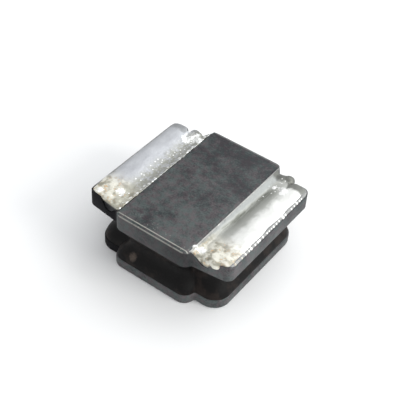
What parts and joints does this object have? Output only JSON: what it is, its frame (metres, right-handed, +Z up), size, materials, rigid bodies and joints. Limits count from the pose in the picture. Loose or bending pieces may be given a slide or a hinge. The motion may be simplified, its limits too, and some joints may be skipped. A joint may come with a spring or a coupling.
{
  "type": "shielded smd inductor",
  "caption": "Small semi-shielded power inductor: a ferrite drum core, its winding sealed in magnetic resin, with two soldered terminals on one flange.",
  "frame": {"origin": "centre of the plain flange's flat face, on the surface that the part stands on", "axes": "+X across the two terminals, to the right one; +Y along the terminals, towards the end where the wires rise; +Z up from the plain flange to the terminals"},
  "size_m": [0.004, 0.0038, 0.0017],
  "materials": {
    "ferrite": "fired nickel-zinc ferrite, satin dark grey with a fine mottle",
    "enamelled_wire": "copper wire under clear polyurethane enamel",
    "magnetic_resin": "brown-black epoxy filled with ferrite powder, soft sheen",
    "plating": "silver layer plated with nickel and tin",
    "solder": "tin solder, satin, with bright ripples and frosted lumps"
  },
  "bodies": {
    "root": {"drum_core": "ferrite", "winding": "enamelled_wire", "resin_coating": "magnetic_resin", "electrode_left": "plating", "electrode_right": "plating", "solder_left": "solder", "solder_right": "solder"}
  },
  "joints": []
}
